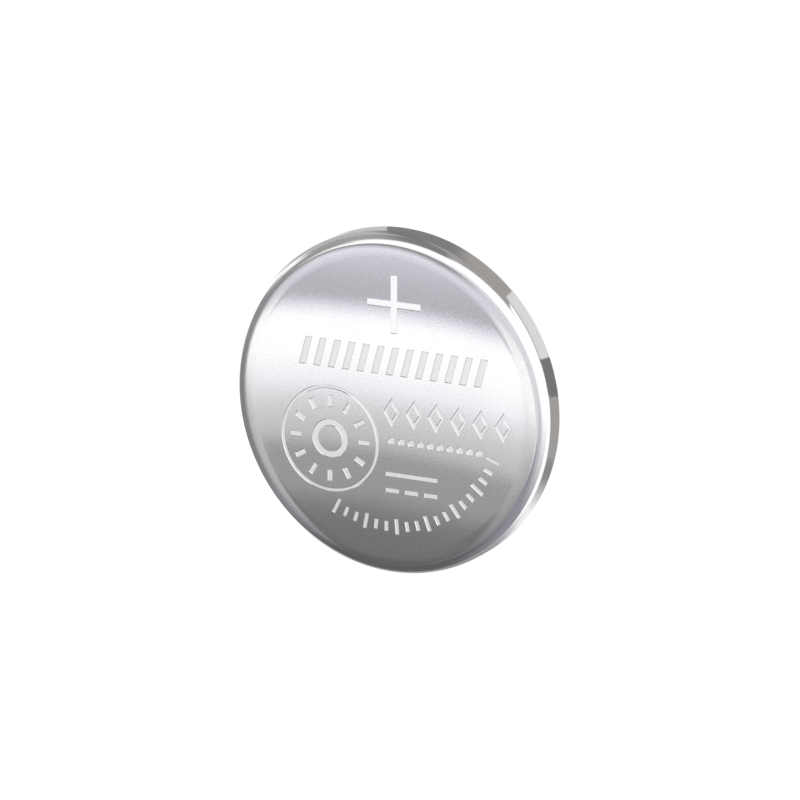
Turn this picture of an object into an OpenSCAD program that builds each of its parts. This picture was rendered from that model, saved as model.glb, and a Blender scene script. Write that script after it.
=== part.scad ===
// Lithium coin cell, 20 mm across and 3.2 mm high.
// It lies on the flat face of its negative cap, with the positive face up.
// The origin is the middle of the cap's flat face, and every piece is a turned section.

/* [Cell] */
// Outer diameter of the cell
cell_d = 20; // [16:0.1:25]
// Height of the cell over both terminals
cell_h = 3.2; // [2.6:0.1:5.4]

/* [Positive can] */
// Thickness of the can's steel
can_t = 0.25; // [0.2:0.01:0.3]
// Outer radius of the bend between the positive face and the wall
can_corner_r = 0.8; // [0.45:0.05:0.8]
// Radius of the slight fall of the face before that bend
face_ease_r = 5; // [3:0.5:8]
// Angle through which the face falls before that bend
face_ease_deg = 8; // [3:1:12]
// Outer radius of the curl that closes the wall over the seal
curl_r = 1.4; // [0.95:0.05:1.45]
// Width of the gasket in view between the curl's edge and the crown
mouth_w = 0.22; // [0.15:0.01:0.3]

/* [Negative cap] */
// Thickness of the cap's steel
cap_t = 0.25; // [0.2:0.01:0.3]
// Height by which the crown stands proud of the curl
crown_proud = 0.15; // [0.08:0.01:0.2]
// Outer radius of the bend round the crown
crown_corner_r = 0.35; // [0.3:0.01:0.45]
// Straight height of the crown's side, between its bend and the shoulder
crown_side_h = 0.1; // [0.05:0.01:0.15]
// Inner radius of the two bends that make the shoulder
shoulder_r = 0.1; // [0.06:0.01:0.14]
// Gap inside the skirt's folded hem
hem_gap = 0.04; // [0.02:0.01:0.08]

/* [Gasket] */
// Thickness of the gasket between the skirt and the can's wall
gasket_wall_t = 0.3; // [0.24:0.01:0.36]
// Thickness of the gasket under the hem
gasket_floor_t = 0.3; // [0.24:0.01:0.36]
// Thickness of the collar inside the skirt
collar_t = 0.24; // [0.18:0.01:0.3]
// Length of that collar from the hem's fold
collar_l = 0.75; // [0.5:0.05:1]
// Depth at which the gasket ends inside the mouth of the curl
gasket_recess = 0.1; // [0.05:0.01:0.15]
// Clearance between the gasket and the metal round it
seal_fit = 0.01; // [0.005:0.001:0.02]

/* [Lithium disc] */
// Thickness of the lithium
lithium_t = 0.6; // [0.4:0.05:0.8]
// Gap between the lithium's edge and the cap's side
lithium_edge_gap = 0.66; // [0.4:0.02:1]

/* [Separator] */
// Thickness of the separator cloth
separator_t = 0.15; // [0.1:0.01:0.2]
// Gap between the separator's rim and the cap's side
separator_edge_gap = 0.1; // [0.06:0.01:0.2]
// Height of the separator's turned-up rim
separator_rim_h = 1; // [0.6:0.05:1.2]

/* [Cathode] */
// Thickness of the collector ring's steel
ring_t = 0.2; // [0.15:0.01:0.25]
// Height of the collector ring's wall
ring_h = 1.4; // [1:0.05:1.6]
// Width of the collector ring's foot, inside its wall
ring_foot_w = 0.75; // [0.5:0.05:1]
// Gap between the separator's rim and the collector ring
ring_gap = 0.05; // [0.03:0.01:0.1]
// Clearance between the cathode pellet and the collector ring
pellet_fit = 0.02; // [0.01:0.005:0.04]

/* [Hidden] */
$fn = 180;

cell_r = cell_d / 2;
can_floor_z = cell_h - can_t;

// The centres of the can's corner bend and of the slight fall before it lie on one line,
// so that the two arcs are tangent.
corner_cr = cell_r - can_corner_r;
ease_reach = face_ease_r - can_corner_r;
ease_cr = corner_cr - ease_reach * sin(face_ease_deg);
ease_cz = cell_h - face_ease_r;
corner_cz = ease_cz + ease_reach * cos(face_ease_deg);

// The skirt hangs from the crown's shoulder, and its hem fits inside the gasket's wall.
hem_r = cell_r - can_t - gasket_wall_t;
leg_r = hem_r - cap_t - hem_gap;
leg_inner_r = leg_r - cap_t;
hem_cr = leg_r + hem_gap / 2;
hem_cz = can_floor_z - gasket_floor_t - cap_t - hem_gap / 2;
crown_r = leg_r - cap_t - 2 * shoulder_r;
crown_inner_r = crown_r - cap_t;
shoulder_cr = crown_r + shoulder_r;
shoulder_low_z = crown_corner_r + crown_side_h;
shoulder_high_z = shoulder_low_z + 2 * shoulder_r + cap_t;

// The curl runs on until its edge leaves the gasket in view, and its lowest point lies under
// the crown by the crown's stand.
mouth_r = crown_r + mouth_w;
curl_cr = cell_r - curl_r;
curl_deg = acos((mouth_r - curl_cr) / (curl_r - can_t));
curl_cz = crown_proud + curl_r * sin(min(curl_deg, 90));

// The hem's free edge keeps the gasket's wall thickness from the inside of the curl.
hem_edge_z = curl_cz + gasket_wall_t - sqrt(pow(curl_r - can_t, 2) - pow(hem_r - curl_cr, 2));

collar_inner_r = leg_inner_r - seal_fit - collar_t;
collar_z = hem_cz - collar_l;
gasket_end_z = crown_proud + gasket_recess;

lithium_r = crown_inner_r - lithium_edge_gap;
lithium_top_z = cap_t + lithium_t;
separator_r = crown_inner_r - separator_edge_gap;
separator_top_z = lithium_top_z + separator_t;
ring_r = separator_r - separator_t - ring_gap;
ring_inner_r = ring_r - ring_t;
ring_foot_r = ring_inner_r - ring_foot_w;
ring_foot_z = can_floor_z - ring_t;
pellet_r = ring_inner_r - pellet_fit;
pellet_boss_r = ring_foot_r - pellet_fit;

// A stretch of a section between two radii and two heights
module bar(r0, r1, z0, z1) {
    polygon([[r0, z0], [r1, z0], [r1, z1], [r0, z1]]);
}

// A round of a section about a centre, placed in a coarse and a fine step to keep its tangents
module round_at(cr, cz, r) {
    coarse = [round(cr * 100) / 100, round(cz * 100) / 100];
    translate(coarse) translate([cr, cz] - coarse) circle(r);
}

// A quarter of a bend in sheet, whose inside has the radius r and which starts at a right angle
module quarter_bend(cr, cz, r, t, start_deg) {
    far = 2 * (r + t);
    translate([cr, cz]) rotate(start_deg) intersection() {
        difference() {
            circle(r + t);
            circle(r);
        }
        square(far);
    }
}

// The half section inside the can's surface, moved inwards by inset
module can_space(inset) {
    face_z = cell_h - inset;
    bar(0, ease_cr, curl_cz, face_z);
    intersection() {
        round_at(ease_cr, ease_cz, face_ease_r - inset);
        polygon([
            [0, curl_cz],
            [corner_cr - (corner_cz - curl_cz) * tan(face_ease_deg), curl_cz],
            [corner_cr + cell_h * tan(face_ease_deg), corner_cz + cell_h],
            [0, corner_cz + cell_h]
        ]);
    }
    round_at(corner_cr, corner_cz, can_corner_r - inset);
    bar(0, cell_r - inset, curl_cz, corner_cz);
    intersection() {
        round_at(curl_cr, curl_cz, curl_r - inset);
        bar(0, cell_r, curl_cz - curl_r, curl_cz);
    }
}

// The open mouth of the can, inside the curl's edge
module can_mouth() {
    reach = cell_h + curl_r;
    polygon([
        [curl_cr, curl_cz],
        [curl_cr + reach * cos(curl_deg), curl_cz - reach * sin(curl_deg)],
        [0, curl_cz - reach * sin(curl_deg)],
        [0, curl_cz]
    ]);
}

// Drawn steel can: the positive terminal, the wall and the curl that holds the seal
module positive_can() {
    color([0.78, 0.78, 0.80]) rotate_extrude() difference() {
        can_space(0);
        can_space(can_t);
        can_mouth();
    }
}

// Drawn steel cap: the negative terminal, with a shoulder and a skirt folded back on itself
module negative_cap() {
    color([0.70, 0.70, 0.71]) rotate_extrude() {
        bar(0, crown_r - crown_corner_r, 0, cap_t);
        quarter_bend(crown_r - crown_corner_r, crown_corner_r, crown_corner_r - cap_t, cap_t, 270);
        bar(crown_inner_r, crown_r, crown_corner_r, shoulder_low_z);
        quarter_bend(shoulder_cr, shoulder_low_z, shoulder_r, cap_t, 90);
        quarter_bend(shoulder_cr, shoulder_high_z, shoulder_r, cap_t, 270);
        bar(leg_inner_r, leg_r, shoulder_high_z, hem_cz);
        quarter_bend(hem_cr, hem_cz, hem_gap / 2, cap_t, 90);
        quarter_bend(hem_cr, hem_cz, hem_gap / 2, cap_t, 0);
        bar(hem_r - cap_t, hem_r, hem_edge_z, hem_cz);
    }
}

// Moulded gasket: it fills the space between can and cap and grips the hem on both sides
module gasket() {
    color([0.90, 0.90, 0.86]) rotate_extrude() difference() {
        union() {
            intersection() {
                can_space(can_t + seal_fit);
                union() {
                    bar(shoulder_cr, cell_r, 0, hem_cz);
                    bar(collar_inner_r, cell_r, collar_z, cell_h);
                }
            }
            round_at(shoulder_cr, shoulder_low_z, shoulder_r - seal_fit);
            bar(crown_r + seal_fit, mouth_r - seal_fit, gasket_end_z, shoulder_low_z);
        }
        bar(0, leg_r + seal_fit, shoulder_high_z, collar_z);
        bar(leg_inner_r - seal_fit, hem_r + seal_fit, hem_edge_z - seal_fit, hem_cz);
        round_at(shoulder_cr, shoulder_high_z, shoulder_r + cap_t + seal_fit);
        round_at(hem_cr, hem_cz, hem_gap / 2 + cap_t + seal_fit);
    }
}

// Lithium metal pressed on the inside of the cap
module lithium_disc() {
    color([0.80, 0.81, 0.83]) translate([0, 0, cap_t]) cylinder(h = lithium_t, r = lithium_r);
}

// Cloth separator, a shallow cup that keeps the lithium and the cathode apart
module separator() {
    color([0.96, 0.96, 0.93]) rotate_extrude() {
        bar(0, separator_r, lithium_top_z, separator_top_z);
        bar(separator_r - separator_t, separator_r, separator_top_z, lithium_top_z + separator_rim_h);
    }
}

// Steel ring with a foot on the can's floor, which carries the current from the pellet
module cathode_collector_ring() {
    color([0.66, 0.67, 0.69]) rotate_extrude() {
        bar(ring_inner_r, ring_r, can_floor_z - ring_h, can_floor_z);
        bar(ring_foot_r, ring_inner_r, ring_foot_z, can_floor_z);
    }
}

// Pressed manganese dioxide pellet, seated on the ring's foot and on the can's floor
module cathode_pellet() {
    color([0.13, 0.13, 0.14]) rotate_extrude() {
        bar(0, pellet_r, separator_top_z, ring_foot_z);
        bar(0, pellet_boss_r, ring_foot_z, can_floor_z);
    }
}

positive_can();
cathode_collector_ring();
cathode_pellet();
separator();
lithium_disc();
gasket();
negative_cap();
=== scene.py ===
import math

import bmesh
import bpy
from mathutils import Matrix, Vector


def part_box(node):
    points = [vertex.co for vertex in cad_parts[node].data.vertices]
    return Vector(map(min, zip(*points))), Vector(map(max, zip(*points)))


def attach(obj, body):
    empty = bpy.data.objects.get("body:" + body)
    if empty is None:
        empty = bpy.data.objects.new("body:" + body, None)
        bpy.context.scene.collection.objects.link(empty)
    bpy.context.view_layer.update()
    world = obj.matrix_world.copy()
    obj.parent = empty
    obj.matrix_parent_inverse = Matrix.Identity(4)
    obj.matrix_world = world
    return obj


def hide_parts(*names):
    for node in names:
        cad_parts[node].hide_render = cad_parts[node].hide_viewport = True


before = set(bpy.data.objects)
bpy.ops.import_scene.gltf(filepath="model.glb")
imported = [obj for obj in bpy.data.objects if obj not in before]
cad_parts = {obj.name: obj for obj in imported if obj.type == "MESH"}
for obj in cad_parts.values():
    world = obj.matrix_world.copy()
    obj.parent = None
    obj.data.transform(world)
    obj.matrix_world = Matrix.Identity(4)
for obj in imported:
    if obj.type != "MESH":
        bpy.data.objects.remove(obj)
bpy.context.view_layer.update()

# Every size in this script is in millimetres, and a mesh is scaled to metres when it is finished.
MM = 0.001

# Size of the cell, read from the frame
can_low, can_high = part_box("positive_can")
CELL_R = can_high.x / MM
CELL_H = can_high.z / MM
CROWN_PROUD = can_low.z / MM

# Steel can, with the same values as the frame
CAN_T = 0.25
CAN_CORNER_R = 0.8
FACE_EASE_R = 5.0
FACE_EASE_TURN = 8.0
CURL_R = 1.4
MOUTH_W = 0.22

# Steel cap
CAP_T = 0.25
CROWN_CORNER_R = 0.35
CROWN_SIDE_H = 0.1
SHOULDER_R = 0.1
HEM_GAP = 0.04

# Gasket
GASKET_WALL_T = 0.3
GASKET_FLOOR_T = 0.3
COLLAR_T = 0.24
COLLAR_L = 0.75
GASKET_RECESS = 0.1
SEAL_FIT = 0.01

# Steps in which a turned piece goes round, the longest steps of an arc in a section, in degrees, and
# the fineness of the floor's hole and of the dome
ROUND_STEPS = 256
ARC_STEP = 4.0
EASE_STEP = 0.5
WELD = 0.001
SHARP_ANGLE = math.radians(22)
FLOOR_STEPS = 64
DOME_SUBDIVISIONS = 5

# Stamped marks on the positive face
MARK_DEPTH = 0.03
MARK_SLOPE = 0.035
MARK_HEADROOM = 0.5
MARK_RING_STEPS = 96

# Polarity sign
PLUS_CENTRE = (0.42, 5.94)
PLUS_SPAN = 3.4
PLUS_STROKE = 0.42

# Band of slanted bars across the face
BAND_CENTRE = (0.34, 2.62)
BAND_BARS = 13
BAND_PITCH = 0.93
BAND_HEIGHT = 1.65
BAND_STROKE = 0.44
BAND_LEAN = 0.27

# Dial at the left
DIAL_CENTRE = (-3.65, -2.4)
DIAL_R = 3.05
DIAL_STROKE = 0.21
DIAL_TICKS = 12
DIAL_TICK_R = 2.2
DIAL_TICK_LENGTH = 0.7
DIAL_TICK_STROKE = 0.32
DIAL_HUB_R = 0.95
DIAL_HUB_STROKE = 0.4

# Row of open diamonds at the right. The stroke is measured along their upright axis.
DIAMOND_CENTRE = (3.84, -0.36)
DIAMONDS = 6
DIAMOND_PITCH = 1.41
DIAMOND_R = 0.65
DIAMOND_STROKE = 0.42
DIAMOND_SHAPE = 0.64
DIAMOND_CORNERS = 4

# Row of dots under the diamonds
DOT_CENTRE = (3.1, -2.05)
DOTS = 10
DOT_PITCH = 0.62
DOT_R = 0.22
DOT_STEPS = 24

# Sign for direct current: one long bar over three short ones
CURRENT_CENTRE = (1.6, -4.5)
CURRENT_LENGTH = 3.3
CURRENT_GAP = 0.95
CURRENT_STROKE = 0.3
CURRENT_DASH = 0.85
CURRENT_DASHES = 3

# Arc of graduations along the lower right of the face
SCALE_R = 7.1
SCALE_LONG = 0.95
SCALE_SHORT = 0.62
SCALE_STROKE = 0.24
SCALE_START = -117.0
SCALE_STEP = 5.4
SCALE_TICKS = 19
SCALE_GROUP = 3

# Camera: where it stands, how it is turned about its own axis, and the scale of the picture
CAMERA_AZIMUTH = 120.24
CAMERA_ELEVATION = 59.0
CAMERA_ROLL = -116.31
CAMERA_DISTANCE = 300.0
PICTURE_WIDTH_PX = 800
PICTURE_SCALE_PX = 17.58
SENSOR_WIDTH = 36.0
CLIP_NEAR = 10.0
CLIP_FAR = 10000.0
CELL_MIDDLE_PX = (400.0, 399.16)

# Studio: the light levels, the softbox, and how far the floor is seen as white
WORLD_LEVEL = 0.85
KEY_LEVEL = 0.022
KEY_SIZE = 60.0
KEY_PLACE = (15.0, 62.0, 62.0)
FLOOR_PAINT = (0.8, 0.8, 0.8)
FLOOR_PAINT_SEEN = (0.12, 0.12, 0.12)
FLOOR_GLOW = 0.93
FLOOR_SIZE = 1500.0
FLOOR_HOLE_R = 8.3
FLOOR_DROP = 0.01

# Card over the positive face, seen only in its reflection. Its bands are given by the place on the
# face where they show, in millimetres up from the middle, with their level and their colour. They
# fall and bow a little from left to right. Past each side of the face other bands take over, which
# only the rounded edge of the face reflects. Round the upper left the card has a grey rim.
NEUTRAL = (1.0, 1.0, 1.0)
LAVENDER = (0.98, 0.98, 1.06)
CARD_HEIGHT = 26.0
CARD_MARGIN = 11.0
CARD_FALL = 0.02
CARD_BOW = 0.008
CARD_BANDS = (
    (-18.0, 0.13, NEUTRAL),
    (-12.0, 0.20, NEUTRAL),
    (-9.0, 0.20, NEUTRAL),
    (-7.2, 0.22, NEUTRAL),
    (-6.4, 0.25, NEUTRAL),
    (-5.2, 0.385, NEUTRAL),
    (-3.0, 0.39, NEUTRAL),
    (-2.3, 0.62, NEUTRAL),
    (-0.8, 0.74, NEUTRAL),
    (0.0, 0.86, NEUTRAL),
    (0.8, 1.07, LAVENDER),
    (1.8, 1.18, NEUTRAL),
    (3.2, 1.28, NEUTRAL),
    (4.95, 1.27, NEUTRAL),
    (5.1, 1.06, LAVENDER),
    (5.5, 1.00, LAVENDER),
    (5.85, 0.53, LAVENDER),
    (7.2, 0.60, LAVENDER),
    (9.0, 0.78, LAVENDER),
    (11.0, 0.86, LAVENDER),
    (13.0, 0.95, LAVENDER),
    (16.0, 1.00, LAVENDER),
)
RIGHT_BANDS = (
    (-14.0, 0.26, NEUTRAL),
    (-8.0, 0.40, NEUTRAL),
    (-4.5, 0.50, NEUTRAL),
    (-0.9, 0.72, NEUTRAL),
    (1.2, 1.00, NEUTRAL),
    (3.6, 1.18, NEUTRAL),
    (6.5, 1.14, NEUTRAL),
    (8.2, 1.05, NEUTRAL),
    (9.4, 0.86, LAVENDER),
    (14.0, 0.80, LAVENDER),
)
FAR_RIGHT_BANDS = (
    (-14.0, 0.25, NEUTRAL),
    (-11.0, 0.32, NEUTRAL),
    (-8.4, 0.39, NEUTRAL),
    (-6.9, 0.40, NEUTRAL),
    (-5.4, 0.47, NEUTRAL),
    (-2.4, 0.60, NEUTRAL),
    (0.0, 0.85, NEUTRAL),
    (2.0, 1.12, NEUTRAL),
    (6.5, 1.18, NEUTRAL),
    (8.2, 1.05, NEUTRAL),
    (9.4, 0.86, LAVENDER),
    (14.0, 0.70, LAVENDER),
)
LEFT_BANDS = (
    (-14.0, 0.34, NEUTRAL),
    (-8.7, 0.54, NEUTRAL),
    (-5.0, 0.58, NEUTRAL),
    (-2.0, 0.72, NEUTRAL),
    (-0.5, 0.92, NEUTRAL),
    (1.0, 1.12, NEUTRAL),
    (2.5, 1.24, NEUTRAL),
    (5.5, 1.20, NEUTRAL),
    (6.5, 0.95, NEUTRAL),
    (8.0, 0.78, LAVENDER),
    (12.0, 0.82, LAVENDER),
)
# Where the bands of a side start and where they are full, in millimetres to the right
SIDE_BANDS = (
    (7.6, 11.0, RIGHT_BANDS),
    (11.0, 14.5, FAR_RIGHT_BANDS),
    (-7.5, -9.6, LEFT_BANDS),
)
# Grey rim of the card: its centre, the radii at which it starts and is full, the same for how much
# further up than right a place lies, and its colour
CARD_RIM_CENTRE = (-1.2, -1.2)
CARD_RIM_FADE = (14.4, 17.8)
CARD_RIM_SIDE = (0.0, 8.0)
CARD_RIM = (0.36, 0.36, 0.37)

# Studio dome round the cell, seen only in its reflections. It is bright, with flags in it. Each flag
# has a name, its sides, its low and high edges, its slope and its colour. The sides are azimuths in
# degrees from the direction away from the camera, and the edges are elevations. Each side and edge
# has the place where the flag is gone and the place where it is full. A slope lifts the flag by so
# many degrees for each degree of azimuth.
DOME_R = 200.0
DOME_LEVEL = 1.3
CEILING = (0.85, 0.85, 0.89)
DOME_FLAGS = (
    ("ceiling", (-400, -399, 399, 400), (62, 74, 91, 92), 0.0, CEILING),
    ("ceiling wing", (95, 130, 180, 181), (-8, 5, 399, 400), 0.33, CEILING),
    ("ceiling corner", (-181, -180, -150, -125), (110, 123, 399, 400), 0.33, CEILING),
    ("underneath", (-400, -399, 399, 400), (-92, -91, -60, -14), 0.0, (0.62, 0.62, 0.63)),
    ("far side", (-16, -4, 84, 150), (-12, -8, 62, 72), 0.0, (0.33, 0.33, 0.37)),
    ("far shelf", (-54, -34, -4, 12), (-12, -8, 36, 62), 0.0, (0.27, 0.27, 0.27)),
    ("far core", (2, 22, 48, 82), (-12, -8, 36, 60), 0.0, (0.135, 0.135, 0.14)),
    ("grey side", (-124, -116, -60, -50), (-12, -8, 32, 44), 0.0, (0.43, 0.425, 0.42)),
    ("shelf", (-72, -62, -34, -24), (16, 26, 36, 52), 0.0, (0.38, 0.375, 0.37)),
    ("grey front", (-176, -168, -118, -112), (-400, -399, 99, 113), 0.62, (0.43, 0.42, 0.41)),
    ("narrow", (-128, -120, -104, -84), (-12, -8, 28, 40), 0.0, (0.25, 0.25, 0.255)),
    ("strip", (-40, -32, -26, -18), (-12, -8, 64, 74), 0.0, (0.33, 0.33, 0.34)),
)

# Flags that lie on the floor round the wall, seen only in its reflection. Their sides are azimuths
# in degrees from the direction to the camera, and their edges are radii in millimetres.
FLAG_RISE = 0.005
FLAG_SHIFT = 0.75
FLAG_FIELD_R = 195.0
FLOOR_FLAGS = (
    ("near left", (-160, -135, -96, -76), (10.3, 20, 399, 400), 0.0, (0.40, 0.40, 0.42)),
    ("far left", (-181, -180.5, -125, -95), (-4.6, 5.4, 399, 400), -0.12, (0.14, 0.14, 0.145)),
    ("far right", (140, 172, 180.5, 181), (16, 32, 399, 400), 0.0, (0.20, 0.20, 0.20)),
    ("far foot", (84, 90, 104, 114), (8.0, 8.1, 9.7, 10.3), 0.0, (0.42, 0.405, 0.39)),
    ("near wall", (-175, -140, -92, -62), (9.7, 10.3, 12.5, 22), 0.0, (0.34, 0.34, 0.355)),
    ("near foot", (-175, -140, -94, -72), (8.0, 8.1, 9.7, 10.3), 0.0, (0.26, 0.265, 0.285)),
    ("side field", (40, 60, 112, 124), (11.5, 12.5, 399, 400), 0.0, (0.56, 0.555, 0.55)),
    ("light", (60, 64, 82, 98), (9.85, 9.95, 11.8, 12.4), 0.0, (0.62, 0.61, 0.60)),
    ("warm", (14.2, 14.8, 58, 64), (9.98, 10.08, 399, 400), 0.0, (0.43, 0.405, 0.39)),
    ("grey", (34, 44, 69, 70), (9.98, 10.08, 12.5, 20), 0.0, (0.25, 0.248, 0.255)),
    ("narrow", (54, 62, 69, 82), (11.5, 12.5, 399, 400), 0.0, (0.24, 0.24, 0.245)),
    ("cool end", (-76, -54, -20, -18), (9.85, 9.95, 12, 14.5), 0.0, (0.42, 0.405, 0.39)),
    ("cool core", (-58, -53, -50, -45), (9.95, 10.05, 11, 13), 0.0, (0.30, 0.29, 0.28)),
    ("line", (-12, -11, 14, 15), (11.3, 11.9, 13.4, 15), 0.0, (0.59, 0.585, 0.58)),
    ("pale", (-12, -11, 16, 17), (9.85, 9.95, 11.9, 12.3), 0.0, (0.84, 0.84, 0.85)),
    ("dark", (-24.3, -23.7, -10.1, -9.5), (9.85, 9.95, 12.3, 15), 0.0, (0.225, 0.22, 0.22)),
)

# Sizes that follow from the ones above
CAN_FLOOR_Z = CELL_H - CAN_T
CORNER_CR = CELL_R - CAN_CORNER_R
EASE_REACH = FACE_EASE_R - CAN_CORNER_R
EASE_CR = CORNER_CR - EASE_REACH * math.sin(math.radians(FACE_EASE_TURN))
EASE_CZ = CELL_H - FACE_EASE_R
CORNER_CZ = EASE_CZ + EASE_REACH * math.cos(math.radians(FACE_EASE_TURN))
CORNER_TURN = 90 - FACE_EASE_TURN

HEM_R = CELL_R - CAN_T - GASKET_WALL_T
LEG_R = HEM_R - CAP_T - HEM_GAP
LEG_INNER_R = LEG_R - CAP_T
HEM_CR = LEG_R + HEM_GAP / 2
HEM_CZ = CAN_FLOOR_Z - GASKET_FLOOR_T - CAP_T - HEM_GAP / 2
CROWN_R = LEG_R - CAP_T - 2 * SHOULDER_R
CROWN_INNER_R = CROWN_R - CAP_T
CROWN_CR = CROWN_R - CROWN_CORNER_R
SHOULDER_CR = CROWN_R + SHOULDER_R
SHOULDER_LOW_Z = CROWN_CORNER_R + CROWN_SIDE_H
SHOULDER_HIGH_Z = SHOULDER_LOW_Z + 2 * SHOULDER_R + CAP_T

MOUTH_R = CROWN_R + MOUTH_W
CURL_CR = CELL_R - CURL_R
CURL_TURN = math.degrees(math.acos((MOUTH_R - CURL_CR) / (CURL_R - CAN_T)))
CURL_CZ = CROWN_PROUD + CURL_R * math.sin(math.radians(min(CURL_TURN, 90)))
HEM_EDGE_Z = CURL_CZ + GASKET_WALL_T - math.sqrt((CURL_R - CAN_T) ** 2 - (HEM_R - CURL_CR) ** 2)

COLLAR_INNER_R = LEG_INNER_R - SEAL_FIT - COLLAR_T
COLLAR_Z = HEM_CZ - COLLAR_L
GASKET_END_Z = CROWN_PROUD + GASKET_RECESS
GASKET_END_R = MOUTH_R - SEAL_FIT
GASKET_CURL_R = CURL_R - CAN_T - SEAL_FIT
GASKET_CURL_TURN = math.degrees(math.acos((GASKET_END_R - CURL_CR) / GASKET_CURL_R))


def start_section(r, z):
    """A new mesh with the first point of a half section, at the radius r and the height z."""
    bm = bmesh.new()
    point = bm.verts.new((r, 0, z))
    return bm, point


def line_to(bm, point, r, z):
    """Draws the section on in a straight line and gives its new end."""
    drawn = bmesh.ops.extrude_vert_indiv(bm, verts=[point])
    end = drawn["verts"][0]
    end.co = (r, 0, z)
    return end


def arc_round(bm, point, r, z, turn, longest=ARC_STEP):
    """Draws the section on round a centre. A positive turn runs from the top to the rim."""
    drawn = bmesh.ops.spin(
        bm,
        geom=[point],
        cent=(r, 0, z),
        axis=(0, 1, 0),
        angle=math.radians(turn),
        steps=math.ceil(abs(turn) / longest),
        use_merge=False,
    )
    return drawn["geom_last"][0]


def turn_section(bm):
    """Turns the half section once round the cell's axis and closes the flat discs at its ends."""
    bmesh.ops.remove_doubles(bm, verts=bm.verts, dist=WELD)
    bmesh.ops.spin(
        bm,
        geom=bm.verts[:] + bm.edges[:],
        cent=(0, 0, 0),
        axis=(0, 0, 1),
        angle=math.tau,
        steps=ROUND_STEPS,
        use_merge=True,
    )
    bmesh.ops.remove_doubles(bm, verts=bm.verts, dist=WELD)
    for face in bm.faces:
        face.smooth = True
    open_edges = [edge for edge in bm.edges if edge.is_boundary]
    if open_edges:
        bmesh.ops.edgeloop_fill(bm, edges=open_edges, use_smooth=False)
    bmesh.ops.recalc_face_normals(bm, faces=bm.faces)
    for edge in bm.edges:
        edge.smooth = edge.calc_face_angle(0) < SHARP_ANGLE


def object_from(bm, name, materials):
    """Makes an object of a mesh, still in millimetres."""
    mesh = bpy.data.meshes.new(name)
    bm.to_mesh(mesh)
    bm.free()
    for material in materials:
        mesh.materials.append(material)
    piece = bpy.data.objects.new(name, mesh)
    bpy.context.scene.collection.objects.link(piece)
    return piece


def to_metres(piece):
    """Scales a finished mesh from millimetres to metres, with its object left at the origin."""
    piece.data.transform(Matrix.Scale(MM, 4))
    piece.data.update()


def can_section():
    """Half section of the drawn can, from the positive face round the wall to the curl and back."""
    bm, point = start_section(EASE_CR, CELL_H)
    point = arc_round(bm, point, EASE_CR, EASE_CZ, FACE_EASE_TURN, EASE_STEP)
    point = arc_round(bm, point, CORNER_CR, CORNER_CZ, CORNER_TURN)
    point = line_to(bm, point, CELL_R, CURL_CZ)
    point = arc_round(bm, point, CURL_CR, CURL_CZ, CURL_TURN)
    edge_r = CURL_CR + (CURL_R - CAN_T) * math.cos(math.radians(CURL_TURN))
    edge_z = CURL_CZ - (CURL_R - CAN_T) * math.sin(math.radians(CURL_TURN))
    point = line_to(bm, point, edge_r, edge_z)
    point = arc_round(bm, point, CURL_CR, CURL_CZ, -CURL_TURN)
    point = line_to(bm, point, CELL_R - CAN_T, CORNER_CZ)
    point = arc_round(bm, point, CORNER_CR, CORNER_CZ, -CORNER_TURN)
    arc_round(bm, point, EASE_CR, EASE_CZ, -FACE_EASE_TURN, EASE_STEP)
    return bm


def cap_section():
    """Half section of the drawn cap: crown, side, shoulder, skirt and the hem folded back on it."""
    bm, point = start_section(CROWN_CR, 0)
    point = arc_round(bm, point, CROWN_CR, CROWN_CORNER_R, -90)
    point = line_to(bm, point, CROWN_R, SHOULDER_LOW_Z)
    point = arc_round(bm, point, SHOULDER_CR, SHOULDER_LOW_Z, 90)
    point = arc_round(bm, point, SHOULDER_CR, SHOULDER_HIGH_Z, -90)
    point = line_to(bm, point, LEG_R, HEM_CZ)
    point = arc_round(bm, point, HEM_CR, HEM_CZ, 180)
    point = line_to(bm, point, HEM_R - CAP_T, HEM_EDGE_Z)
    point = line_to(bm, point, HEM_R, HEM_EDGE_Z)
    point = line_to(bm, point, HEM_R, HEM_CZ)
    point = arc_round(bm, point, HEM_CR, HEM_CZ, -180)
    point = line_to(bm, point, LEG_INNER_R, SHOULDER_HIGH_Z)
    point = arc_round(bm, point, SHOULDER_CR, SHOULDER_HIGH_Z, 90)
    point = arc_round(bm, point, SHOULDER_CR, SHOULDER_LOW_Z, -90)
    point = line_to(bm, point, CROWN_INNER_R, CROWN_CORNER_R)
    arc_round(bm, point, CROWN_CR, CROWN_CORNER_R, 90)
    return bm


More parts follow.
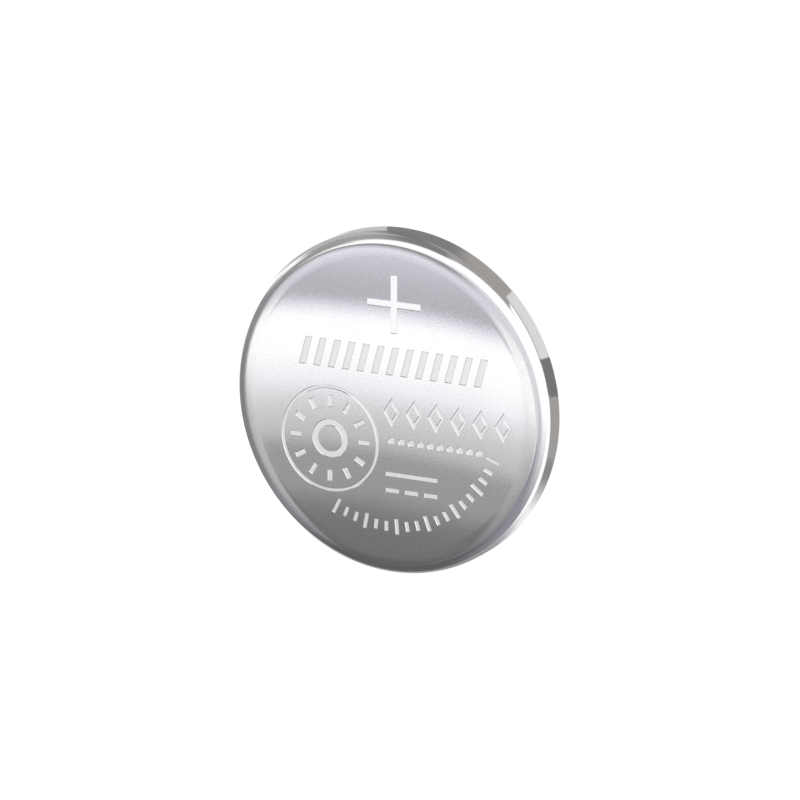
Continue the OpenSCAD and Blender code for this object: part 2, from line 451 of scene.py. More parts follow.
def gasket_section():
    """Half section of the moulded gasket, which lines the can and grips the hem on both sides."""
    can_inside = CAN_T + SEAL_FIT
    top_z = CELL_H - can_inside
    bm, start = start_section(COLLAR_INNER_R, top_z)
    point = line_to(bm, start, EASE_CR, top_z)
    point = arc_round(bm, point, EASE_CR, EASE_CZ, FACE_EASE_TURN, EASE_STEP)
    point = arc_round(bm, point, CORNER_CR, CORNER_CZ, CORNER_TURN)
    point = line_to(bm, point, CELL_R - can_inside, CURL_CZ)
    point = arc_round(bm, point, CURL_CR, CURL_CZ, GASKET_CURL_TURN)
    point = line_to(bm, point, GASKET_END_R, GASKET_END_Z)
    point = line_to(bm, point, CROWN_R + SEAL_FIT, GASKET_END_Z)
    point = line_to(bm, point, CROWN_R + SEAL_FIT, SHOULDER_LOW_Z)
    point = arc_round(bm, point, SHOULDER_CR, SHOULDER_LOW_Z, 90)
    point = arc_round(bm, point, SHOULDER_CR, SHOULDER_HIGH_Z, -90)
    point = line_to(bm, point, LEG_R + SEAL_FIT, HEM_EDGE_Z - SEAL_FIT)
    point = line_to(bm, point, HEM_R + SEAL_FIT, HEM_EDGE_Z - SEAL_FIT)
    point = line_to(bm, point, HEM_R + SEAL_FIT, HEM_CZ)
    point = arc_round(bm, point, HEM_CR, HEM_CZ, -180)
    point = line_to(bm, point, LEG_INNER_R - SEAL_FIT, COLLAR_Z)
    point = line_to(bm, point, COLLAR_INNER_R, COLLAR_Z)
    bm.edges.new((point, start))
    return bm


def move_flat(bm, verts, centre, angle=0.0):
    """Turns a flat mark by an angle in degrees and moves it to its place on the face."""
    turn = Matrix.Rotation(math.radians(angle), 4, "Z")
    place = Matrix.Translation((centre[0], centre[1], CELL_H))
    bmesh.ops.transform(bm, matrix=place @ turn, verts=verts)


def flat_bar(bm, centre, length, width, angle=0.0, lean=0.0):
    """A flat bar along X before it is turned. A lean slants its ends."""
    made = bmesh.ops.create_grid(bm, x_segments=1, y_segments=1, size=0.5)
    shape = Matrix.Diagonal((length, width, 1, 1))
    slant = Matrix.Identity(4)
    slant[0][1] = lean
    bmesh.ops.transform(bm, matrix=slant @ shape, verts=made["verts"])
    move_flat(bm, made["verts"], centre, angle)


def flat_cross(bm, centre, span, stroke):
    """A flat cross, drawn as one square whose four sides are extruded into arms."""
    made = bmesh.ops.create_grid(bm, x_segments=1, y_segments=1, size=stroke / 2)
    verts = list(made["verts"])
    sides = {edge for vert in verts for edge in vert.link_edges}
    for side in sorted(sides, key=lambda edge: edge.index):
        middle = (side.verts[0].co + side.verts[1].co) / 2
        arm = bmesh.ops.extrude_edge_only(bm, edges=[side])
        ends = [item for item in arm["geom"] if isinstance(item, bmesh.types.BMVert)]
        reach = middle.normalized() * (span - stroke) / 2
        bmesh.ops.translate(bm, vec=reach, verts=ends)
        verts.extend(ends)
    move_flat(bm, verts, centre)


def flat_ring(bm, centre, radius, stroke, steps=MARK_RING_STEPS, wide=1.0):
    """A flat ring: a short edge across its stroke, spun round its centre."""
    before = set(bm.verts)
    inner = bm.verts.new((radius - stroke / 2, 0, 0))
    outer = bm.verts.new((radius + stroke / 2, 0, 0))
    across = bm.edges.new((inner, outer))
    bmesh.ops.spin(
        bm,
        geom=[inner, outer, across],
        cent=(0, 0, 0),
        axis=(0, 0, 1),
        angle=math.tau,
        steps=steps,
        use_merge=True,
    )
    verts = [vert for vert in bm.verts if vert not in before]
    bmesh.ops.transform(bm, matrix=Matrix.Diagonal((wide, 1, 1, 1)), verts=verts)
    move_flat(bm, verts, centre)


def flat_disc(bm, centre, radius, steps):
    """A flat round dot."""
    made = bmesh.ops.create_circle(bm, cap_ends=True, radius=radius, segments=steps)
    move_flat(bm, made["verts"], centre)


def row_places(centre, count, pitch):
    """Centres of marks that stand in a level row about one centre."""
    first = centre[0] - pitch * (count - 1) / 2
    return [(first + pitch * number, centre[1]) for number in range(count)]


def draw_dial(bm):
    """A ring with twelve graduations and an open hub."""
    flat_ring(bm, DIAL_CENTRE, DIAL_R, DIAL_STROKE)
    flat_ring(bm, DIAL_CENTRE, DIAL_HUB_R, DIAL_HUB_STROKE)
    for number in range(DIAL_TICKS):
        angle = 360 / DIAL_TICKS * number
        out = Vector((math.cos(math.radians(angle)), math.sin(math.radians(angle))))
        middle = Vector(DIAL_CENTRE) + out * DIAL_TICK_R
        flat_bar(bm, middle, DIAL_TICK_LENGTH, DIAL_TICK_STROKE, angle)


def draw_scale(bm):
    """Graduations along the lower right of the face, every third one longer."""
    for number in range(SCALE_TICKS):
        angle = SCALE_START + SCALE_STEP * number
        out = Vector((math.cos(math.radians(angle)), math.sin(math.radians(angle))))
        length = SCALE_SHORT if number % SCALE_GROUP else SCALE_LONG
        flat_bar(bm, out * SCALE_R, length, SCALE_STROKE, angle)


def draw_current_sign(bm):
    """One long bar over three short ones, the common sign for direct current."""
    high = (CURRENT_CENTRE[0], CURRENT_CENTRE[1] + CURRENT_GAP / 2)
    low = (CURRENT_CENTRE[0], CURRENT_CENTRE[1] - CURRENT_GAP / 2)
    flat_bar(bm, high, CURRENT_LENGTH, CURRENT_STROKE)
    pitch = (CURRENT_LENGTH - CURRENT_DASH) / (CURRENT_DASHES - 1)
    for place in row_places(low, CURRENT_DASHES, pitch):
        flat_bar(bm, place, CURRENT_DASH, CURRENT_STROKE)


def marks_cutter(materials):
    """The marks as one solid: flat outlines, drawn up over the face and sunk with polished slopes."""
    bm = bmesh.new()
    flat_cross(bm, PLUS_CENTRE, PLUS_SPAN, PLUS_STROKE)
    sign = bm.faces[:]
    for place in row_places(BAND_CENTRE, BAND_BARS, BAND_PITCH):
        flat_bar(bm, place, BAND_STROKE, BAND_HEIGHT, lean=BAND_LEAN)
    for place in row_places(DIAMOND_CENTRE, DIAMONDS, DIAMOND_PITCH):
        flat_ring(bm, place, DIAMOND_R, DIAMOND_STROKE, DIAMOND_CORNERS, DIAMOND_SHAPE)
    for place in row_places(DOT_CENTRE, DOTS, DOT_PITCH):
        flat_disc(bm, place, DOT_R, DOT_STEPS)
    draw_dial(bm)
    draw_current_sign(bm)
    draw_scale(bm)
    bmesh.ops.recalc_face_normals(bm, faces=bm.faces)
    flats = bm.faces[:]
    for face in flats:
        if face.normal.z > 0:
            face.normal_flip()
    raised = bmesh.ops.extrude_face_region(bm, geom=flats, use_keep_orig=True)
    tops = [item for item in raised["geom"] if isinstance(item, bmesh.types.BMVert)]
    bmesh.ops.translate(bm, vec=(0, 0, MARK_HEADROOM), verts=tops)
    bmesh.ops.recalc_face_normals(bm, faces=bm.faces)
    bmesh.ops.inset_region(
        bm,
        faces=flats,
        thickness=MARK_SLOPE,
        depth=MARK_DEPTH,
        use_boundary=True,
        use_even_offset=True,
    )
    for face in bm.faces:
        face.material_index = 0
    # The plus sign's floor gets the whiter copy of the mark material, a painted highlight; the other
    # floors get the plain mark material.
    for face in flats:
        face.material_index = 2 if face in sign else 1
    return object_from(bm, "marks", materials)


def cut_marks(can, marks):
    """Sinks the marks into the can and gives their floors the material of the cutter."""
    cut = can.modifiers.new("marks", "BOOLEAN")
    cut.object = marks
    cut.operation = "DIFFERENCE"
    cut.solver = "EXACT"
    cut.material_mode = "TRANSFER"
    depsgraph = bpy.context.evaluated_depsgraph_get()
    cut_mesh = bpy.data.meshes.new_from_object(can.evaluated_get(depsgraph))
    can.modifiers.clear()
    can.data = cut_mesh
    cut_mesh.name = can.name
    bpy.data.objects.remove(marks)


def add_node(tree, kind, **settings):
    """Adds a shader node and sets its properties."""
    node = tree.nodes.new(kind)
    for name, value in settings.items():
        setattr(node, name, value)
    return node


def linked_math(tree, operation, first, second=None, third=None):
    """A math node; each value is a socket or a number."""
    node = add_node(tree, "ShaderNodeMath", operation=operation)
    for number, value in enumerate((first, second, third)):
        if value is None:
            continue
        if isinstance(value, bpy.types.NodeSocket):
            tree.links.new(value, node.inputs[number])
        else:
            node.inputs[number].default_value = value
    return node.outputs["Value"]


def smooth_step(tree, value, start, full):
    """A mask that rises softly from 0 at one value to 1 at another."""
    node = add_node(tree, "ShaderNodeMapRange", interpolation_type="SMOOTHSTEP")
    node.inputs["From Min"].default_value = start
    node.inputs["From Max"].default_value = full
    tree.links.new(value, node.inputs["Value"])
    return node.outputs["Result"]


def new_group(name, inputs, outputs):
    """A shader node group with named sockets; an input is a name, its kind and its usual value."""
    group = bpy.data.node_groups.new(name, "ShaderNodeTree")
    for label, kind, value in inputs:
        socket = group.interface.new_socket(name=label, in_out="INPUT", socket_type=kind)
        if value is not None:
            socket.default_value = value
    for label, kind in outputs:
        group.interface.new_socket(name=label, in_out="OUTPUT", socket_type=kind)
    entry = group.nodes.new("NodeGroupInput")
    result = group.nodes.new("NodeGroupOutput")
    return group, entry, result


def make_speckle_group():
    """Fine even speckle, as on satin or blasted metal and on powder."""
    group, entry, result = new_group(
        "fine_speckle",
        (
            ("Vector", "NodeSocketVector", None),
            ("Grains per mm", "NodeSocketFloat", 8.0),
            ("Roughness", "NodeSocketFloat", 0.6),
        ),
        (("Mask", "NodeSocketFloat"),),
    )
    noise = add_node(group, "ShaderNodeTexNoise", noise_dimensions="3D")
    noise.inputs["Detail"].default_value = 3.0
    group.links.new(entry.outputs["Vector"], noise.inputs["Vector"])
    group.links.new(entry.outputs["Grains per mm"], noise.inputs["Scale"])
    group.links.new(entry.outputs["Roughness"], noise.inputs["Roughness"])
    group.links.new(smooth_step(group, noise.outputs["Fac"], 0.3, 0.7), result.inputs["Mask"])
    return group


def make_rolled_group():
    """Long fine lines that rolling leaves in sheet metal."""
    group, entry, result = new_group(
        "rolled_lines",
        (
            ("Vector", "NodeSocketVector", None),
            ("Turn", "NodeSocketFloat", 0.6),
            ("Lines per mm", "NodeSocketFloat", 6.0),
            ("Stretch", "NodeSocketFloat", 0.03),
        ),
        (("Mask", "NodeSocketFloat"),),
    )
    turn = add_node(group, "ShaderNodeVectorRotate", rotation_type="Z_AXIS")
    stretch = add_node(group, "ShaderNodeCombineXYZ")
    stretch.inputs["Y"].default_value = 1.0
    stretch.inputs["Z"].default_value = 1.0
    pull = add_node(group, "ShaderNodeVectorMath", operation="MULTIPLY")
    noise = add_node(group, "ShaderNodeTexNoise", noise_dimensions="3D")
    noise.inputs["Detail"].default_value = 2.0
    noise.inputs["Roughness"].default_value = 0.55
    group.links.new(entry.outputs["Vector"], turn.inputs["Vector"])
    group.links.new(entry.outputs["Turn"], turn.inputs["Angle"])
    group.links.new(entry.outputs["Stretch"], stretch.inputs["X"])
    group.links.new(turn.outputs["Vector"], pull.inputs[0])
    group.links.new(stretch.outputs["Vector"], pull.inputs[1])
    group.links.new(pull.outputs["Vector"], noise.inputs["Vector"])
    group.links.new(entry.outputs["Lines per mm"], noise.inputs["Scale"])
    group.links.new(smooth_step(group, noise.outputs["Fac"], 0.32, 0.68), result.inputs["Mask"])
    return group


def make_cloud_group():
    """Broad soft patches, for handling, oxide and uneven pressing."""
    group, entry, result = new_group(
        "soft_patches",
        (
            ("Vector", "NodeSocketVector", None),
            ("Patches per mm", "NodeSocketFloat", 0.3),
            ("Low", "NodeSocketFloat", 0.0),
            ("High", "NodeSocketFloat", 1.0),
        ),
        (("Value", "NodeSocketFloat"),),
    )
    noise = add_node(group, "ShaderNodeTexNoise", noise_dimensions="3D")
    noise.inputs["Detail"].default_value = 4.0
    spread = add_node(group, "ShaderNodeMapRange")
    spread.inputs["From Min"].default_value = 0.35
    spread.inputs["From Max"].default_value = 0.65
    group.links.new(entry.outputs["Vector"], noise.inputs["Vector"])
    group.links.new(entry.outputs["Patches per mm"], noise.inputs["Scale"])
    group.links.new(noise.outputs["Fac"], spread.inputs["Value"])
    group.links.new(entry.outputs["Low"], spread.inputs["To Min"])
    group.links.new(entry.outputs["High"], spread.inputs["To Max"])
    group.links.new(spread.outputs["Result"], result.inputs["Value"])
    return group


SPECKLE = make_speckle_group()
ROLLED = make_rolled_group()
PATCHES = make_cloud_group()


def millimetres(tree):
    """Object coordinates in millimetres."""
    where = add_node(tree, "ShaderNodeTexCoord")
    scale = add_node(tree, "ShaderNodeMapping", vector_type="POINT")
    scale.inputs["Scale"].default_value = (1 / MM, 1 / MM, 1 / MM)
    tree.links.new(where.outputs["Object"], scale.inputs["Vector"])
    return scale


def new_material(name):
    """A material with its shader, and object coordinates in millimetres for its patterns."""
    material = bpy.data.materials.new(name)
    material.use_nodes = True
    tree = material.node_tree
    shader = tree.nodes["Principled BSDF"]
    return material, tree, shader, millimetres(tree).outputs["Vector"]


def use_group(tree, group, vector, **values):
    """Places a node group in a material, fed with coordinates, and sets its values."""
    node = add_node(tree, "ShaderNodeGroup", node_tree=group)
    tree.links.new(vector, node.inputs["Vector"])
    for label, value in values.items():
        node.inputs[label.replace("_", " ")].default_value = value
    return node.outputs[0]


def between(tree, mask, low, high):
    """A value that runs from low to high as the mask runs from 0 to 1."""
    node = add_node(tree, "ShaderNodeMapRange")
    node.inputs["To Min"].default_value = low
    node.inputs["To Max"].default_value = high
    tree.links.new(mask, node.inputs["Value"])
    return node.outputs["Result"]


def mix_colours(tree, mask, low, high):
    """A colour that runs from low to high as the mask runs from 0 to 1."""
    node = add_node(tree, "ShaderNodeMix", data_type="RGBA")
    node.inputs["A"].default_value = (*low, 1)
    node.inputs["B"].default_value = (*high, 1)
    tree.links.new(mask, node.inputs["Factor"])
    return node.outputs["Result"]


def add_masks(tree, first, second, share):
    """Adds a share of the second mask to the first."""
    return linked_math(tree, "MULTIPLY_ADD", second, share, first)


def add_relief(tree, shader, height, depth):
    """Turns a height mask into relief of a depth in millimetres."""
    bump = add_node(tree, "ShaderNodeBump")
    bump.inputs["Strength"].default_value = 1.0
    bump.inputs["Distance"].default_value = depth * MM
    tree.links.new(height, bump.inputs["Height"])
    tree.links.new(bump.outputs["Normal"], shader.inputs["Normal"])


def set_finish(tree, shader, tone, rough, relief):
    """Gives a shader its colour, its roughness and its relief, each from a mask and its range."""
    tree.links.new(mix_colours(tree, *tone), shader.inputs["Base Color"])
    tree.links.new(between(tree, *rough), shader.inputs["Roughness"])
    add_relief(tree, shader, *relief)


def can_steel():
    """Bright nickel-plated steel with a very fine satin grain and faint rolling lines."""
    material, tree, shader, vector = new_material("can_steel")
    grain = use_group(tree, SPECKLE, vector, Grains_per_mm=9.0, Roughness=0.7)
    lines = use_group(tree, ROLLED, vector, Turn=1.05, Lines_per_mm=5.0, Stretch=0.15)
    patches = use_group(tree, PATCHES, vector, Patches_per_mm=0.25)
    surface = add_masks(tree, grain, lines, 0.5)
    flecks = add_masks(tree, grain, patches, 0.25)
    tone = (flecks, (0.745, 0.745, 0.755), (0.835, 0.835, 0.84))
    set_finish(tree, shader, tone, (grain, 0.05, 0.08), (surface, 0.0003))
    shader.inputs["Metallic"].default_value = 1.0
    return material


def stamped_steel(name, low, high, metallic):
    """Floor of a stamped mark: the same plating, pale and matte."""
    material, tree, shader, vector = new_material(name)
    grain = use_group(tree, SPECKLE, vector, Grains_per_mm=14.0, Roughness=0.7)
    set_finish(tree, shader, (grain, low, high), (grain, 0.36, 0.44), (grain, 0.0008))
    shader.inputs["Metallic"].default_value = metallic
    return material


def mark_steel():
    """Floors of most marks."""
    return stamped_steel("mark_steel", (0.83, 0.83, 0.84), (0.90, 0.90, 0.905), 0.5)


def sign_steel_painted_highlight():
    """Floor of the polarity sign, painted whiter and less metallic than the other marks: a painted
    highlight on the same plating.
    """
    return stamped_steel("sign_steel_painted_highlight", (0.93, 0.93, 0.935), (0.98, 0.98, 0.98), 0.3)


def cap_steel():
    """Negative cap: steel with the fine pear-skin texture of its tool."""
    material, tree, shader, vector = new_material("cap_steel")
    skin = use_group(tree, SPECKLE, vector, Grains_per_mm=5.0, Roughness=0.5)
    patches = use_group(tree, PATCHES, vector, Patches_per_mm=0.2)
    tone = (patches, (0.71, 0.71, 0.715), (0.75, 0.75, 0.755))
    set_finish(tree, shader, tone, (skin, 0.30, 0.38), (skin, 0.004))
    shader.inputs["Metallic"].default_value = 1.0
    return material


def ring_steel():
    """Collector ring: plain rolled stainless steel."""
    material, tree, shader, vector = new_material("ring_steel")
    lines = use_group(tree, ROLLED, vector, Turn=0.2, Lines_per_mm=8.0, Stretch=0.04)
    patches = use_group(tree, PATCHES, vector, Patches_per_mm=0.5)
    tone = (patches, (0.60, 0.60, 0.61), (0.66, 0.66, 0.67))
    set_finish(tree, shader, tone, (lines, 0.24, 0.36), (lines, 0.001))
    shader.inputs["Metallic"].default_value = 1.0
    return material


def gasket_plastic():
    """Natural polypropylene with a faint moulded texture."""
    material, tree, shader, vector = new_material("gasket_plastic")
    skin = use_group(tree, SPECKLE, vector, Grains_per_mm=6.0, Roughness=0.4)
    patches = use_group(tree, PATCHES, vector, Patches_per_mm=0.6)
    tone = (patches, (0.74, 0.74, 0.69), (0.80, 0.80, 0.76))
    set_finish(tree, shader, tone, (skin, 0.42, 0.52), (skin, 0.002))
    return material


def lithium_metal():
    """Soft grey lithium with dull patches and the lines of rolling."""
    material, tree, shader, vector = new_material("lithium_metal")
    lines = use_group(tree, ROLLED, vector, Turn=1.1, Lines_per_mm=3.0, Stretch=0.08)
    patches = use_group(tree, PATCHES, vector, Patches_per_mm=0.8)
    tone = (patches, (0.58, 0.59, 0.61), (0.74, 0.75, 0.77))
    set_finish(tree, shader, tone, (patches, 0.55, 0.34), (lines, 0.006))
    tree.links.new(between(tree, patches, 0.75, 1.0), shader.inputs["Metallic"])
    return material


def separator_cloth():
    """Non-woven cloth: two layers of fibres laid across each other."""
    material, tree, shader, vector = new_material("separator_cloth")
    warp = use_group(tree, ROLLED, vector, Turn=0.5, Lines_per_mm=14.0, Stretch=0.06)
    weft = use_group(tree, ROLLED, vector, Turn=1.9, Lines_per_mm=12.0, Stretch=0.08)
    fibres = add_masks(tree, warp, weft, 0.8)
    tone = (warp, (0.80, 0.80, 0.77), (0.90, 0.90, 0.87))
    set_finish(tree, shader, tone, (weft, 0.75, 0.9), (fibres, 0.02))
    return material


def cathode_powder():
    """Pressed manganese dioxide: nearly black grains with a dull graphite glint."""
    material, tree, shader, vector = new_material("cathode_powder")
    grains = use_group(tree, SPECKLE, vector, Grains_per_mm=7.0, Roughness=0.8)
    patches = use_group(tree, PATCHES, vector, Patches_per_mm=0.5)
    tone = (grains, (0.018, 0.018, 0.019), (0.045, 0.045, 0.047))
    set_finish(tree, shader, tone, (patches, 0.62, 0.85), (grains, 0.02))
    tree.links.new(between(tree, grains, 0.0, 0.35), shader.inputs["Metallic"])
    return material


def build_can():
    """Positive can, with the marks stamped in its flat face."""
    # The third material, for the plus sign's floor, is a whiter copy of the mark material: a painted
    # highlight.
    materials = (can_steel(), mark_steel(), sign_steel_painted_highlight())
    bm = can_section()
    turn_section(bm)
    can = object_from(bm, "can_shell", materials)
    cut_marks(can, marks_cutter(materials))
    to_metres(can)
    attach(can, "root")
    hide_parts("positive_can")


def build_cap():
    """Negative cap."""
    bm = cap_section()
    turn_section(bm)
    cap = object_from(bm, "cap_shell", (cap_steel(),))
    to_metres(cap)
    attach(cap, "root")
    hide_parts("negative_cap")


def build_gasket():
    """Gasket between can and cap."""
    bm = gasket_section()
    turn_section(bm)
    gasket = object_from(bm, "gasket_ring", (gasket_plastic(),))
    to_metres(gasket)
    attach(gasket, "root")
    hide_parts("gasket")


def finish_inner_pieces():
    """Gives the four pieces inside the cell, which keep their own meshes, their finishes."""
    finishes = {
        "lithium_disc": lithium_metal(),
        "separator": separator_cloth(),
        "cathode_pellet": cathode_powder(),
        "cathode_collector_ring": ring_steel(),
    }
    for node, material in finishes.items():
        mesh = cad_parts[node].data
        mesh.materials.clear()
        mesh.materials.append(material)


def camera_view():
    """Where the camera stands, in millimetres, and its three axes."""
    azimuth = math.radians(CAMERA_AZIMUTH)
    elevation = math.radians(CAMERA_ELEVATION)
    roll = math.radians(CAMERA_ROLL)
    back = Vector(
        (
            math.sin(azimuth) * math.cos(elevation),
            -math.cos(azimuth) * math.cos(elevation),
            math.sin(elevation),
        )
    )
    level = Vector((math.cos(azimuth), math.sin(azimuth), 0))
    upright = back.cross(level)
    right = math.cos(roll) * level + math.sin(roll) * upright
    up = -math.sin(roll) * level + math.cos(roll) * upright
    middle = Vector((0, 0, CELL_H / 2))
    off_right = (PICTURE_WIDTH_PX / 2 - CELL_MIDDLE_PX[0]) / PICTURE_SCALE_PX
    off_up = (CELL_MIDDLE_PX[1] - PICTURE_WIDTH_PX / 2) / PICTURE_SCALE_PX
    stand = middle + right * off_right + up * off_up + back * CAMERA_DISTANCE
    return stand, right, up, back


def place_camera():
    """Camera at the photograph's angle: it looks down on the face of the cell as it lies."""
    stand, right, up, back = camera_view()
    data = bpy.data.cameras.new("camera")
    data.sensor_width = SENSOR_WIDTH
    data.lens = CAMERA_DISTANCE * PICTURE_SCALE_PX * SENSOR_WIDTH / PICTURE_WIDTH_PX
    data.clip_start = CLIP_NEAR * MM
    data.clip_end = CLIP_FAR * MM
    camera = bpy.data.objects.new("camera", data)
    bpy.context.scene.collection.objects.link(camera)
    frame_axes = Matrix((right, up, back)).transposed().to_4x4()
    camera.matrix_world = Matrix.Translation(stand * MM) @ frame_axes
    bpy.context.scene.camera = camera


def seen_only_in_gloss(card):
    """Leaves a studio card out of everything except reflections."""
    card.visible_camera = False
    card.visible_diffuse = False
    card.visible_shadow = False
    card.visible_transmission = False
    card.visible_volume_scatter = False


def glow_material(name):
    """A material that only glows, with object coordinates in millimetres for its pattern."""
    material = bpy.data.materials.new(name)
    material.use_nodes = True
    tree = material.node_tree
    tree.nodes.remove(tree.nodes["Principled BSDF"])
    glow = add_node(tree, "ShaderNodeEmission")
    tree.links.new(glow.outputs["Emission"], tree.nodes["Material Output"].inputs["Surface"])
    return material, tree, glow, millimetres(tree)


def band_colour(tree, place, bands):
    """Colour of a card with bands, from the place of a point across them."""
    first = bands[0][0]
    last = bands[-1][0]
    along = add_node(tree, "ShaderNodeMapRange")
    along.inputs["From Min"].default_value = first
    along.inputs["From Max"].default_value = last
    tree.links.new(place, along.inputs["Value"])
    ramp = add_node(tree, "ShaderNodeValToRGB")
    stops = ramp.color_ramp.elements
    for number, (height, level, tint) in enumerate(bands):
        position = (height - first) / (last - first)
        stop = stops[number] if number < 2 else stops.new(position)
        stop.position = position
        stop.color = (*(level / DOME_LEVEL * part for part in tint), 1)
    tree.links.new(along.outputs["Result"], ramp.inputs["Fac"])
    return ramp.outputs["Color"]


def card_rim(tree, sideways, upwards):
    """Mask of the grey rim round the upper left of the card."""
    across = linked_math(tree, "SUBTRACT", sideways, CARD_RIM_CENTRE[0])
    up = linked_math(tree, "SUBTRACT", upwards, CARD_RIM_CENTRE[1])
    far = linked_math(tree, "MULTIPLY", up, up)
    radius = linked_math(tree, "SQRT", linked_math(tree, "MULTIPLY_ADD", across, across, far))
    corner = linked_math(tree, "SUBTRACT", upwards, sideways)
    ring = smooth_step(tree, radius, *CARD_RIM_FADE)
    return linked_math(tree, "MULTIPLY", ring, smooth_step(tree, corner, *CARD_RIM_SIDE))


def build_band_card():
    """Card over the face, with the bright and dark bands that the polished steel reflects."""
    stand = camera_view()[0]
    reach = CARD_HEIGHT / (stand.z - CELL_H)
    gain = 1 + reach
    centre = Vector((-stand.x * reach, -stand.y * reach, CELL_H + CARD_HEIGHT))
    material, tree, glow, scale = glow_material("band_card")
    scale.inputs["Location"].default_value = (-centre.x / gain, -centre.y / gain, 0)
    scale.inputs["Scale"].default_value = (1 / MM / gain, 1 / MM / gain, 1)
    split = add_node(tree, "ShaderNodeSeparateXYZ")
    tree.links.new(scale.outputs["Vector"], split.inputs["Vector"])
    sideways = split.outputs["X"]
    fall = linked_math(tree, "MULTIPLY_ADD", sideways, CARD_FALL, split.outputs["Y"])
    bow = linked_math(tree, "MULTIPLY", sideways, CARD_BOW)
    place = linked_math(tree, "MULTIPLY_ADD", bow, sideways, fall)
    colour = band_colour(tree, place, CARD_BANDS)
    for start, full, bands in SIDE_BANDS:
        past = smooth_step(tree, sideways, start, full)
        mix = add_node(tree, "ShaderNodeMix", data_type="RGBA")
        tree.links.new(past, mix.inputs["Factor"])
        tree.links.new(colour, mix.inputs["A"])
        tree.links.new(band_colour(tree, fall, bands), mix.inputs["B"])
        colour = mix.outputs["Result"]
    rim = add_node(tree, "ShaderNodeMix", data_type="RGBA")
    rim.inputs["B"].default_value = (*(part / DOME_LEVEL for part in CARD_RIM), 1)
    tree.links.new(card_rim(tree, sideways, split.outputs["Y"]), rim.inputs["Factor"])
    tree.links.new(colour, rim.inputs["A"])
    tree.links.new(rim.outputs["Result"], glow.inputs["Color"])
    glow.inputs["Strength"].default_value = DOME_LEVEL
    bm = bmesh.new()
    radius = (EASE_CR + CARD_MARGIN) * gain
    bmesh.ops.create_circle(bm, cap_ends=True, radius=radius, segments=ROUND_STEPS)
    bmesh.ops.translate(bm, vec=centre, verts=bm.verts)
    card = object_from(bm, "band_card", (material,))
    to_metres(card)
    seen_only_in_gloss(card)


def make_flag_group():
    """Mask of one flag: full between its inner edges and gone outside its outer ones."""
    labels = ("Left out", "Left in", "Right in", "Right out", "Low out", "Low in", "High in", "High out")
    inputs = [("Across", "NodeSocketFloat", None), ("Up", "NodeSocketFloat", None)]
    inputs += [(label, "NodeSocketFloat", 0.0) for label in (*labels, "Slope")]
    group, entry, result = new_group("studio_flag", inputs, (("Mask", "NodeSocketFloat"),))
    across = entry.outputs["Across"]
    lift = linked_math(group, "MULTIPLY", across, entry.outputs["Slope"])
    up = linked_math(group, "SUBTRACT", entry.outputs["Up"], lift)
    sides = (
        (across, "Left out", "Left in"),
        (across, "Right out", "Right in"),
        (up, "Low out", "Low in"),
        (up, "High out", "High in"),
    )
    mask = 1.0
    for value, start, full in sides:
        edge = add_node(group, "ShaderNodeMapRange", interpolation_type="SMOOTHSTEP")
        group.links.new(value, edge.inputs["Value"])
        group.links.new(entry.outputs[start], edge.inputs["From Min"])
        group.links.new(entry.outputs[full], edge.inputs["From Max"])
        mask = linked_math(group, "MULTIPLY", edge.outputs["Result"], mask)
    group.links.new(mask, result.inputs["Mask"])
    return group


FLAG = make_flag_group()


def hang_flags(tree, glow, across, up, flags):
    """Puts flags over a bright field, one over the other."""
    colour = None
    for name, sides, edges, slope, shade in flags:
        mask = add_node(tree, "ShaderNodeGroup", node_tree=FLAG, label=name)
        tree.links.new(across, mask.inputs["Across"])
        tree.links.new(up, mask.inputs["Up"])
        for number, value in enumerate((*sides, *edges, slope)):
            mask.inputs[number + 2].default_value = value
        layer = add_node(tree, "ShaderNodeMix", data_type="RGBA")
        layer.inputs["A"].default_value = (1, 1, 1, 1)
        layer.inputs["B"].default_value = (*(part / DOME_LEVEL for part in shade), 1)
        if colour is not None:
            tree.links.new(colour, layer.inputs["A"])
        tree.links.new(mask.outputs["Mask"], layer.inputs["Factor"])
        colour = layer.outputs["Result"]
    glow.inputs["Strength"].default_value = DOME_LEVEL
    tree.links.new(colour, glow.inputs["Color"])


def camera_compass(tree, vector, turn):
    """Turns coordinates so that the direction of the camera is a known one, and splits them."""
    stand = camera_view()[0]
    heading = math.atan2(stand.y, stand.x)
    rotate = add_node(tree, "ShaderNodeVectorRotate", rotation_type="Z_AXIS")
    rotate.inputs["Angle"].default_value = turn - heading
    split = add_node(tree, "ShaderNodeSeparateXYZ")
    tree.links.new(vector, rotate.inputs["Vector"])
    tree.links.new(rotate.outputs["Vector"], split.inputs["Vector"])
    azimuth = linked_math(tree, "ARCTAN2", split.outputs["Y"], split.outputs["X"])
    return split, linked_math(tree, "DEGREES", azimuth)


def build_dome():
    """Bright dome with flags, for the cell's rim to reflect."""
    material, tree, glow, scale = glow_material("studio_dome")
    split, azimuth = camera_compass(tree, scale.outputs["Vector"], math.pi)
    height = linked_math(tree, "DIVIDE", split.outputs["Z"], DOME_R)
    elevation = linked_math(tree, "DEGREES", linked_math(tree, "ARCSINE", height))
    hang_flags(tree, glow, azimuth, elevation, DOME_FLAGS)
    bm = bmesh.new()
    bmesh.ops.create_icosphere(bm, subdivisions=DOME_SUBDIVISIONS, radius=DOME_R)
    dome = object_from(bm, "studio_dome", (material,))
    to_metres(dome)
    seen_only_in_gloss(dome)


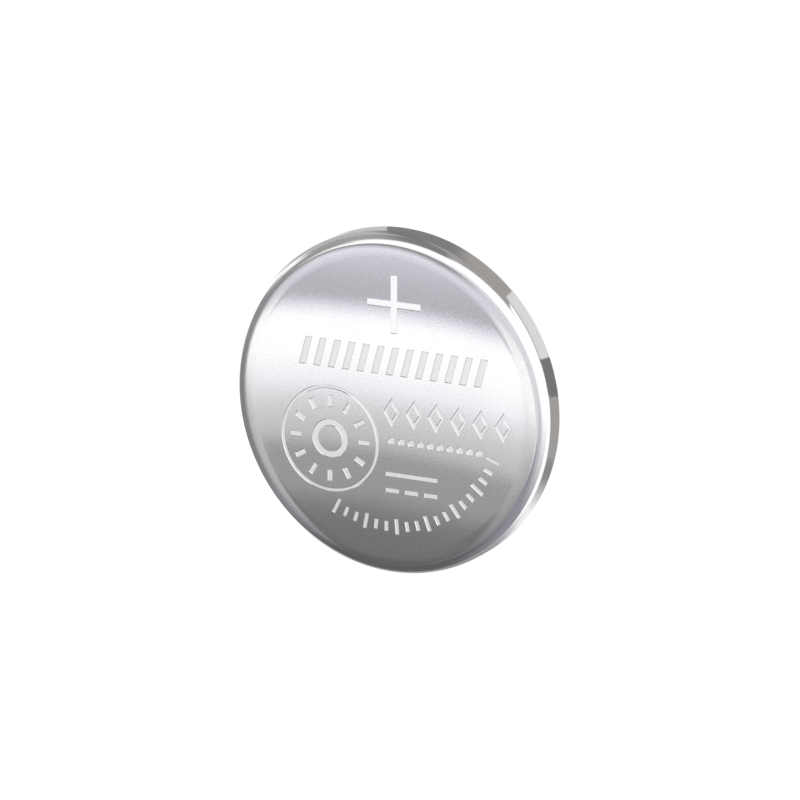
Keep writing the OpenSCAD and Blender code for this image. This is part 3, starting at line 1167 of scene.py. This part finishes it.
def build_floor_flags():
    """Flags on the floor close round the wall, which make the facets in its reflection."""
    material, tree, glow, scale = glow_material("floor_flags")
    split, azimuth = camera_compass(tree, scale.outputs["Vector"], 0.0)
    sideways = linked_math(tree, "SUBTRACT", split.outputs["X"], FLAG_SHIFT)
    far = linked_math(tree, "MULTIPLY", split.outputs["Y"], split.outputs["Y"])
    square = linked_math(tree, "MULTIPLY_ADD", sideways, sideways, far)
    radius = linked_math(tree, "SQRT", square)
    hang_flags(tree, glow, azimuth, radius, FLOOR_FLAGS)
    bm = bmesh.new()
    edge = bmesh.ops.create_circle(bm, radius=FLOOR_HOLE_R, segments=FLOOR_STEPS)
    bmesh.ops.translate(bm, vec=(0, 0, FLAG_RISE - FLOOR_DROP), verts=edge["verts"])
    spread_ring(bm, FLAG_FIELD_R / FLOOR_HOLE_R)
    flags = object_from(bm, "floor_flags", (material,))
    to_metres(flags)
    seen_only_in_gloss(flags)


def spread_ring(bm, spread):
    """Extrudes a circle outwards into a flat ring that faces up."""
    outwards = bmesh.ops.extrude_edge_only(bm, edges=bm.edges[:])
    rim = [item for item in outwards["geom"] if isinstance(item, bmesh.types.BMVert)]
    bmesh.ops.scale(bm, vec=(spread, spread, 1), verts=rim)
    for face in bm.faces:
        if face.normal.z < 0:
            face.normal_flip()


def seen_mask(tree):
    """1 for what the camera sees, straight, in a reflection or through something clear."""
    path = add_node(tree, "ShaderNodeLightPath")
    rays = path.outputs
    seen = linked_math(tree, "MAXIMUM", rays["Is Camera Ray"], rays["Is Glossy Ray"])
    return linked_math(tree, "MAXIMUM", seen, rays["Is Transmission Ray"])


def build_floor():
    """Pale floor that is seen as white and keeps the cell's shadow. From below it isn't seen."""
    material = bpy.data.materials.new("floor")
    material.use_nodes = True
    tree = material.node_tree
    tree.nodes.remove(tree.nodes["Principled BSDF"])
    output = tree.nodes["Material Output"]
    seen = seen_mask(tree)
    matte = add_node(tree, "ShaderNodeBsdfDiffuse")
    glow = add_node(tree, "ShaderNodeEmission")
    both = add_node(tree, "ShaderNodeAddShader")
    side = add_node(tree, "ShaderNodeNewGeometry")
    clear = add_node(tree, "ShaderNodeBsdfTransparent")
    one_way = add_node(tree, "ShaderNodeMixShader")
    paint = mix_colours(tree, seen, FLOOR_PAINT, FLOOR_PAINT_SEEN)
    tree.links.new(paint, matte.inputs["Color"])
    tree.links.new(linked_math(tree, "MULTIPLY", seen, FLOOR_GLOW), glow.inputs["Strength"])
    tree.links.new(matte.outputs["BSDF"], both.inputs[0])
    tree.links.new(glow.outputs["Emission"], both.inputs[1])
    tree.links.new(side.outputs["Backfacing"], one_way.inputs["Fac"])
    tree.links.new(both.outputs["Shader"], one_way.inputs[1])
    tree.links.new(clear.outputs["BSDF"], one_way.inputs[2])
    tree.links.new(one_way.outputs["Shader"], output.inputs["Surface"])
    bm = bmesh.new()
    edge = bmesh.ops.create_circle(bm, radius=FLOOR_HOLE_R, segments=FLOOR_STEPS)
    bmesh.ops.translate(bm, vec=(0, 0, -FLOOR_DROP), verts=edge["verts"])
    spread_ring(bm, FLOOR_SIZE / FLOOR_HOLE_R)
    floor = object_from(bm, "floor", (material,))
    to_metres(floor)


def light_world():
    """Even studio light, with a white background in view and in reflections."""
    world = bpy.data.worlds.new("studio")
    bpy.context.scene.world = world
    world.use_nodes = True
    tree = world.node_tree
    background = tree.nodes["Background"]
    background.inputs["Color"].default_value = (1, 1, 1, 1)
    strength = between(tree, seen_mask(tree), WORLD_LEVEL, 1.0)
    tree.links.new(strength, background.inputs["Strength"])


def add_softbox():
    """One broad softbox high over the cell."""
    data = bpy.data.lights.new("softbox", "AREA")
    data.shape = "SQUARE"
    data.size = KEY_SIZE * MM
    data.energy = KEY_LEVEL
    lamp = bpy.data.objects.new("softbox", data)
    bpy.context.scene.collection.objects.link(lamp)
    lamp.location = Vector(KEY_PLACE) * MM
    lamp.rotation_euler = (-lamp.location).to_track_quat("-Z", "Y").to_euler()
    lamp.visible_glossy = False


bpy.context.scene.view_settings.view_transform = "Standard"
place_camera()
build_can()
build_cap()
build_gasket()
finish_inner_pieces()
build_floor()
build_band_card()
build_dome()
build_floor_flags()
light_world()
add_softbox()
